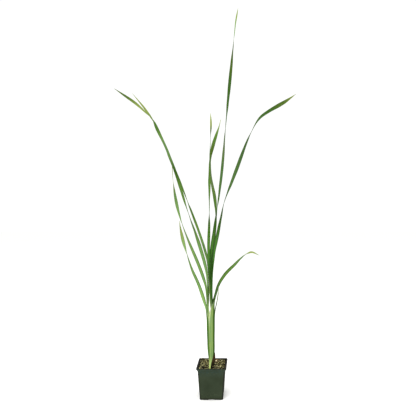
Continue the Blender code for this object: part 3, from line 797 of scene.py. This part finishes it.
def sliver_rings():
    """Rings of the narrow leaf, up the flank of the stem and out to its tip."""
    flank = math.radians(SLIVER_FLANK)
    keys = []
    for height in [row[0] for row in STEM_OUTLINE]:
        middle, across, depth = stem_size(height, 0)
        across_out, depth_out = across + SLIVER_STANDOFF, depth + SLIVER_STANDOFF
        turn = math.degrees(math.atan2(math.sin(flank) / depth, math.cos(flank) / across))
        x = middle + across_out * math.cos(flank)
        y = STEM_DEPTH + depth_out * math.sin(flank)
        keys.append((x, y, height, turn, SLIVER_WIDTH))
    points = smooth_route(keys + list(SLIVER_ROUTE))
    rings = []
    angle = math.radians(BLADE_WRAP)
    length = 0.0
    for i, (point, direction) in enumerate(zip(points, tangents(points))):
        if i:
            length += (place(point) - place(points[i - 1])).length
        half = point[4] / 2
        rings.append(Ring(
            centre=place(point),
            turn=point[3],
            tangent=direction,
            across=SLIVER_SAG * half / (1 - math.cos(angle)),
            depth=half / math.sin(angle),
            wrap=BLADE_WRAP,
            thick=SLIVER_THICK,
            open=1.0,
            along=length,
        ))
    return rings


def leaf_tone(stops, stripes, ring, u, inner):
    """The blade's tone by height. A sheath has a dark keel, which is painted shade, pale sides and paler
    margins, and a pale foot.
    """
    height = ring.centre.z
    cream = smooth_step(*CREAM_ACROSS, abs(u)) * smooth_step(*CREAM_HEIGHTS, height)
    sheath = tone_at(stripes, abs(u)).lerp(tone("cream"), cream)
    ribbed = mix(RIB_LIGHT, MARGIN_LIGHT, smooth_step(*RIB_ACROSS, abs(u)))
    blade = tone_at(stops, height) * mix(ribbed, 1.0, smooth_step(RIB_FADES, RIB_TOP, height))
    colour = sheath.lerp(blade, smooth_step(0.0, 1.0, ring.open))
    colour = tone("foot").lerp(colour, smooth_step(*FOOT_HEIGHTS, height))
    return colour * (1.0 if inner else OUTER_LIGHT)


def loft(shape, rings, side, columns, seed, stops, stripes):
    rows = []
    for ring in rings:
        row = []
        for point, u, inner in section(ring, side, columns, seed):
            colour = leaf_tone(stops, stripes, ring, u, inner)
            grain = (u * ring.depth * MM, ring.along * MM, seed + 3.7 * inner)
            row.append(shape.add(fan_point(*point), colour, grain))
        rows.append(row)
    shape.skin(rows)
    for i in range(columns - 1):
        j = len(rows[0]) - 1 - i
        shape.faces.append((rows[0][i], rows[0][j], rows[0][j - 1], rows[0][i + 1]))
        shape.faces.append((rows[-1][i], rows[-1][i + 1], rows[-1][j - 1], rows[-1][j]))


def make_leaves():
    left = leaf_material("leaf_left_blade", 0.12)
    right = leaf_material("leaf_right_blade", 0.1)
    for number, leaf in enumerate(LEAVES):
        shape = Shape()
        stripes = RIGHT_STRIPES if leaf.side > 0 else INNER_STRIPES if leaf.level else LEFT_STRIPES
        loft(shape, leaf_rings(leaf), leaf.side, COLUMNS, 1.0 + 1.3 * number, leaf.tones, stripes)
        material, slot = (left, "leaf_left_green") if leaf.side < 0 else (right, "leaf_right_green")
        shape.build(leaf.name + "_blade", material, slot, leaf.name)
    shape = Shape()
    loft(shape, sliver_rings(), 1, SLIVER_COLUMNS, 17.0, SLIVER_TONES, INNER_STRIPES)
    shape.build("leaf_right_sliver_blade", right, "leaf_right_green", "leaf_right_sliver")


def make_dry_sheath():
    """A torn, curling scale of old leaf at the foot of the stem, with a ragged top."""
    shape = Shape()
    rows = []
    height, top = DRY_SHEATH[0][0], DRY_SHEATH[-1][0]
    steps = round((top - height) / DRY_STEP)
    for step in range(steps + 1):
        level = mix(height, top, step / steps)
        middle, edge, depth, front, back = (between(DRY_SHEATH, level, column) for column in range(1, 6))
        outer, inner = [], []
        for column in range(DRY_COLUMNS):
            share = column / (DRY_COLUMNS - 1)
            angle = math.radians(mix(front, back, share))
            torn = noise.noise(Vector((share * 9, level * 0.12, 3.0)))
            crinkle = noise.noise(Vector((share * 21, level * 0.5, 8.0)))
            curl = DRY_CURL * torn * smooth_step(100, 135, level) + DRY_CRINKLE * crinkle
            ragged = DRY_RAGGED * noise.noise(Vector((share * 7, 1.0, 5.0))) * smooth_step(126, 141, level)
            for points, inset in ((outer, 0), (inner, DRY_THICK)):
                x = middle + (edge - middle - inset + curl) * math.cos(angle)
                y = STEM_DEPTH - (depth - inset + curl) * math.sin(angle)
                grain = (share * 0.02, level * MM, 5.0 + inset)
                points.append(shape.add(fan_point(x, y, level + ragged), DRY_BROWN, grain))
        rows.append(outer + inner[::-1])
    shape.skin(rows)
    shape.faces.append(rows[0][::-1])
    shape.faces.append(rows[-1])
    shape.build("dry_sheath_paper", dry_material(), "dry_sheath", "dry_sheath", sharp=40)


# Pot


def rounded_square(half, radius, height):
    points = []
    for corner in range(4):
        across = half - radius if corner in (0, 3) else radius - half
        back = half - radius if corner in (0, 1) else radius - half
        for step in range(CORNER_STEPS + 1):
            angle = math.radians(90 * corner + 90 * step / CORNER_STEPS)
            points.append((across + radius * math.cos(angle), back + radius * math.sin(angle), height))
    return points


def wall_half(height):
    """Half the pot's outer width below the lip."""
    return mix(BASE_HALF, WALL_TOP_HALF, height / LIP_BOTTOM)


def inner_half(height):
    return wall_half(height) - WALL


def tube(loops):
    """A closed mesh through closed loops of points, with both ends filled."""
    bm = bmesh.new()
    rows = [[bm.verts.new(point) for point in loop] for loop in loops]
    for lower, upper in zip(rows, rows[1:]):
        for i in range(len(lower)):
            j = (i + 1) % len(lower)
            bm.faces.new((lower[i], lower[j], upper[j], upper[i]))
    bm.faces.new(rows[0][::-1])
    bm.faces.new(rows[-1])
    bmesh.ops.recalc_face_normals(bm, faces=bm.faces)
    mesh = bpy.data.meshes.new("tube")
    bm.to_mesh(mesh)
    bm.free()
    return mesh


def notch_cutter(side):
    """An arched prism that cuts a drain notch in the middle of one bottom edge."""
    radius = (NOTCH_WIDTH**2 / 4 + NOTCH_RISE**2) / (2 * NOTCH_RISE)
    half_angle = math.asin(NOTCH_WIDTH / 2 / radius)
    arch = [(-NOTCH_WIDTH / 2, -OVERCUT)]
    for step in range(NOTCH_STEPS + 1):
        angle = mix(-half_angle, half_angle, step / NOTCH_STEPS)
        arch.append((radius * math.sin(angle), NOTCH_RISE - radius + radius * math.cos(angle)))
    arch.append((NOTCH_WIDTH / 2, -OVERCUT))
    near, far = BASE_HALF - NOTCH_DEPTH, BASE_HALF + OVERCUT
    obj = bpy.data.objects.new("notch", tube([[(x, y, z) for x, z in arch] for y in (near, far)]))
    obj.rotation_euler.z = math.radians(90 * side)
    return obj


def drain_cutter(side):
    """A round drain hole at the inner end of a notch."""
    turns = [2 * math.pi * i / DRAIN_SIDES for i in range(DRAIN_SIDES)]
    circle = [(DRAIN_RADIUS * math.cos(turn), DRAIN_RADIUS * math.sin(turn)) for turn in turns]
    obj = bpy.data.objects.new("drain", tube([[(x, y, z) for x, y in circle] for z in DRAIN_SPAN]))
    angle = math.radians(90 * side)
    reach = BASE_HALF - NOTCH_DEPTH + 0.9 * DRAIN_RADIUS
    obj.location = (-reach * math.sin(angle), reach * math.cos(angle), 0)
    return obj


def inset_square(half, radius, inset, height):
    return rounded_square(half - inset, radius - inset, height)


def make_pot():
    """The walls and lip from loops, with the notches and drain holes cut out of the floor."""
    outer, inner = CORNER_RADIUS, CORNER_RADIUS - WALL
    loops = []
    for step in range(EDGE_LOOPS + 1):
        angle = math.radians(90 * step / EDGE_LOOPS)
        inset, rise = EDGE_RADIUS * (1 - math.sin(angle)), EDGE_RADIUS * (1 - math.cos(angle))
        loops.append(inset_square(wall_half(EDGE_RADIUS), outer, inset, rise))
    for height in WALL_LOOPS:
        loops.append(rounded_square(wall_half(height), outer, height))
    loops.append(rounded_square(WALL_TOP_HALF + LIP_STEP, outer, LIP_BOTTOM))
    for share, rise in LIP_SWELL:
        half = mix(WALL_TOP_HALF, RIM_HALF, share)
        loops.append(rounded_square(half, outer, LIP_BOTTOM + rise * LIP_FLARE))
    top = EDGE_RADIUS / 2
    for step in range(RIM_LOOPS + 1):
        angle = math.radians(90 * step / RIM_LOOPS)
        inset, drop = top * (1 - math.cos(angle)), top * (1 - math.sin(angle))
        loops.append(inset_square(RIM_HALF, outer, inset, RIM_HEIGHT - drop))
    for step in range(RIM_LOOPS + 1):
        angle = math.radians(90 * step / RIM_LOOPS)
        half = inner_half(RIM_HEIGHT) + RIM_INNER_RADIUS * (1 - math.sin(angle))
        loops.append(rounded_square(half, inner, RIM_HEIGHT - RIM_INNER_RADIUS * (1 - math.cos(angle))))
    for height in INNER_LOOPS:
        loops.append(rounded_square(inner_half(height), inner, height))
    obj = bpy.data.objects.new("pot_moulding", tube(loops))
    bpy.context.scene.collection.objects.link(obj)
    cutters = [make(side) for side in range(4) for make in (notch_cutter, drain_cutter)]
    for cutter in cutters:
        bpy.context.scene.collection.objects.link(cutter)
        modifier = obj.modifiers.new("cut", "BOOLEAN")
        modifier.operation = "DIFFERENCE"
        modifier.object = cutter
    bpy.context.view_layer.update()
    evaluated = obj.evaluated_get(bpy.context.evaluated_depsgraph_get())
    cut_mesh = bpy.data.meshes.new_from_object(evaluated)
    obj.modifiers.clear()
    obj.data = cut_mesh
    for cutter in cutters:
        bpy.data.objects.remove(cutter, do_unlink=True)
    obj.data.shade_smooth()
    obj.data.set_sharp_from_angle(angle=math.radians(32))
    dress(obj, pot_material(), "pot_plastic", "pot")


# Soil


def base_chips():
    """Tilted flat lumps of the solid: middle, half length, half width, direction, rise and tilt."""
    rng = random.Random(BASE_CHIP_SEED)
    chips = []
    reach = BASE_CHIP_REACH
    for _ in range(BASE_CHIP_COUNT):
        middle = Vector((rng.uniform(-reach, reach), rng.uniform(-reach, reach)))
        length, width = rng.uniform(*BASE_CHIP_HALF_LENGTH), rng.uniform(*BASE_CHIP_HALF_WIDTH)
        direction, lift = rng.uniform(0, math.pi), rng.uniform(*BASE_CHIP_RISE)
        chips.append((middle, length, width, direction, lift, rng.uniform(-BASE_CHIP_TILT, BASE_CHIP_TILT)))
    return chips


def soil_height(x, y, chips):
    here = Vector((x, y))
    rise = 0.0
    for middle, length, width, direction, lift, tilt in chips:
        along = (here - middle).dot(Vector((math.cos(direction), math.sin(direction))))
        aside = (here - middle).dot(Vector((-math.sin(direction), math.cos(direction))))
        if abs(along) < length and abs(aside) < width:
            rise = max(rise, lift + tilt * along)
    heap = max(0.0, 1 - (here - Vector(HEAP_CENTRE)).length / HEAP_REACH)
    slope = min(1.0, max(0.0, (y - SLOPE_FRONT) / (SLOPE_BACK - SLOPE_FRONT)))
    bank = min(1.0, max(0.0, (-x - BANK_FROM) / (BANK_TO - BANK_FROM)))
    return SOIL_LEVEL + rise + max(SLOPE_RISE * slope, BANK_RISE * bank) + HEAP_RISE * heap**0.7


def pick(rng):
    at = rng.uniform(0, sum(weight for _, weight in BARK))
    for name, weight in BARK:
        at -= weight
        if at <= 0:
            return tone(name)
    return tone(BARK[0][0])


def add_chip(shape, rng, middle, length, width, thick, turn, colour):
    """An irregular splinter of bark: a flat, broken outline with a domed top."""
    count = rng.randint(6, 9)
    seed = rng.uniform(0, 50)
    radii = [rng.uniform(0.72, 1.08) for _ in range(count)]
    rows = []
    for size, level in CHIP_RINGS:
        row = []
        for i, radius in enumerate(radii):
            angle = 2 * math.pi * (i + 0.3 * (i % 2)) / count
            local = Vector((
                length / 2 * radius * size * math.cos(angle),
                width / 2 * radius * size * math.sin(angle),
                thick * (level + 0.25 * (radii[(i * 3) % count] - 0.9)),
            ))
            # Painted shade: the lower rings of a piece are darker
            shade = 0.75 if level < 0 else 1.0
            row.append(shape.add(middle + turn @ local, colour * shade, local + Vector((seed, 0, 0))))
        rows.append(row)
    top = Vector((length * rng.uniform(-0.12, 0.12), 0, thick * rng.uniform(0.4, 0.75)))
    bottom = Vector((0, 0, -thick * 0.55))
    # Painted light on the crown point and painted shade on the point underneath
    crown = shape.add(middle + turn @ top, colour * 1.1, top + Vector((seed, 0, 0)))
    under = shape.add(middle + turn @ bottom, colour * 0.7, bottom + Vector((seed, 0, 0)))
    shape.skin(rows)
    for i in range(count):
        j = (i + 1) % count
        shape.faces.append((rows[-1][i], rows[-1][j], crown))
        shape.faces.append((rows[0][j], rows[0][i], under))


def turned(rng, tilt):
    """A turn about any upright direction, with a lean of up to tilt."""
    spin = Matrix.Rotation(rng.uniform(0, 2 * math.pi), 3, "Z")
    ahead = Matrix.Rotation(rng.uniform(-tilt, tilt), 3, "X")
    aside = Matrix.Rotation(rng.uniform(-tilt, tilt), 3, "Y")
    return spin @ ahead @ aside


def near_stem(x, y, gap):
    foot = fan_point(FOOT_MIDDLE, STEM_DEPTH, 0)
    return math.hypot(x - foot.x, y - foot.y) < FOOT_HALF * MM + gap


def make_bed(chips):
    """The fines between the chips: a rough top, walls inside the pot and a flat underside."""
    shape = Shape()
    rows = []
    # Near-black fines: partly the mix's own colour, partly painted shade in the gaps between the chips
    dark = tone("fines")
    half = inner_half(SOIL_LEVEL) - SOIL_GAP
    for j in range(SOIL_CELLS + 1):
        row = []
        for i in range(SOIL_CELLS + 1):
            u, v = 2 * i / SOIL_CELLS - 1, 2 * j / SOIL_CELLS - 1
            corner = max(0.0, abs(u) + abs(v) - SOIL_CORNER_FROM) * SOIL_CORNER_CUT
            x, y = u * (half - corner), v * (half - corner)
            rough = noise.fractal(Vector((x * 420, y * 420, 2.0)), 1.0, 2.0, 4)
            height = soil_height(x, y, chips) - SOIL_SINK + SOIL_ROUGH * rough
            colour = dark * (1.0 + 0.5 * noise.noise(Vector((x * 300, y * 300, 7.0))))
            row.append(shape.add((x, y, height), colour, (x, y, 0)))
        rows.append(row)
    for lower, upper in zip(rows, rows[1:]):
        for i in range(SOIL_CELLS):
            shape.faces.append((lower[i], lower[i + 1], upper[i + 1], upper[i]))
    columns = list(zip(*rows))
    edge = rows[0][:-1] + list(columns[-1][:-1]) + rows[-1][:0:-1] + list(columns[0][:0:-1])
    low = []
    for vert in edge:
        x, y, height = shape.points[vert]
        shrink = (inner_half(SOIL_BOTTOM) - SOIL_GAP) / (inner_half(height) - SOIL_GAP)
        low.append(shape.add((x * shrink, y * shrink, SOIL_BOTTOM), dark, (x, y, 0)))
    for i in range(len(edge)):
        j = (i + 1) % len(edge)
        shape.faces.append((edge[i], low[i], low[j], edge[j]))
    shape.faces.append(tuple(low))
    shape.build("bark_bed", bark_material("bark_bed_fines"), "bark_mix", "potting_soil", sharp=60)


def make_chips(chips):
    """Loose chips and crumbs all over the bed, and the slab at the back wall."""
    rng = random.Random(CHIP_SEED)
    lumps = Shape()
    for number in range(CHIPS + CRUMBS):
        crumb = number >= CHIPS
        length, width, thick = [rng.uniform(*size) for size in (CRUMB_SIZES if crumb else CHIP_SIZES)]
        half = inner_half(CHIP_LEVEL) - length * CHIP_OFF_WALL
        x, y = rng.uniform(-half, half), rng.uniform(-half, half)
        if near_stem(x, y, length * CHIP_OFF_STEM):
            continue
        middle = Vector((x, y, soil_height(x, y, chips) - (0.0 if crumb else CHIP_SINK)))
        turn = turned(rng, CRUMB_LEAN if crumb else CHIP_LEAN)
        add_chip(lumps, rng, middle, length, width, thick, turn, pick(rng))
    turn = Matrix.Rotation(SLAB_TURN, 3, "Z") @ Matrix.Rotation(SLAB_LEAN, 3, "X")
    for where, length, width, thick, name in SLABS:
        add_chip(lumps, rng, fan_point(*where), length, width, thick, turn, tone(name))
    lumps.build("bark_chips", bark_material("bark_chips_mixed"), "bark_mix", sharp=25)


def make_soil():
    chips = base_chips()
    make_bed(chips)
    make_chips(chips)


# Camera and light


def make_stage():
    scene = bpy.context.scene
    scene.view_settings.view_transform = "Standard"

    mesh = bpy.data.meshes.new("studio_floor")
    square = ((-1, -1), (1, -1), (1, 1), (-1, 1))
    corners = [(x * FLOOR_REACH, y * FLOOR_REACH, -FLOOR_DROP) for x, y in square]
    mesh.from_pydata(corners, [], [(0, 1, 2, 3)])
    floor = bpy.data.objects.new("studio_floor", mesh)
    scene.collection.objects.link(floor)
    white = bpy.data.materials.new("studio_white")
    white.use_nodes = True
    matte = white.node_tree.nodes["Principled BSDF"].inputs
    matte["Base Color"].default_value = FLOOR_COLOUR
    matte["Roughness"].default_value = 0.9
    matte["Specular IOR Level"].default_value = 0.0
    floor.data.materials.append(white)

    world = scene.world or bpy.data.worlds.new("studio")
    scene.world = world
    world.use_nodes = True
    background = world.node_tree.nodes["Background"].inputs
    background["Color"].default_value = (1, 1, 1, 1)
    background["Strength"].default_value = SKY

    for name, where, size, power in LIGHTS:
        light = bpy.data.lights.new(name, "AREA")
        light.size = size
        light.energy = power
        obj = bpy.data.objects.new(name, light)
        obj.location = where
        obj.rotation_euler = (Vector(LIGHTS_AIM) - Vector(where)).to_track_quat("-Z", "Y").to_euler()
        obj.visible_camera = False
        scene.collection.objects.link(obj)


def make_camera():
    camera = bpy.data.cameras.new("camera")
    camera.lens = LENS
    camera.sensor_width = SENSOR
    camera.shift_x = CAMERA_SHIFT
    holder = bpy.data.objects.new("camera", camera)
    holder.location = CAMERA_PLACE
    holder.rotation_euler = (math.radians(90), 0, 0)
    bpy.context.scene.collection.objects.link(holder)
    bpy.context.scene.camera = holder


make_camera()
make_stage()
make_pot()
make_soil()
make_leaves()
make_dry_sheath()
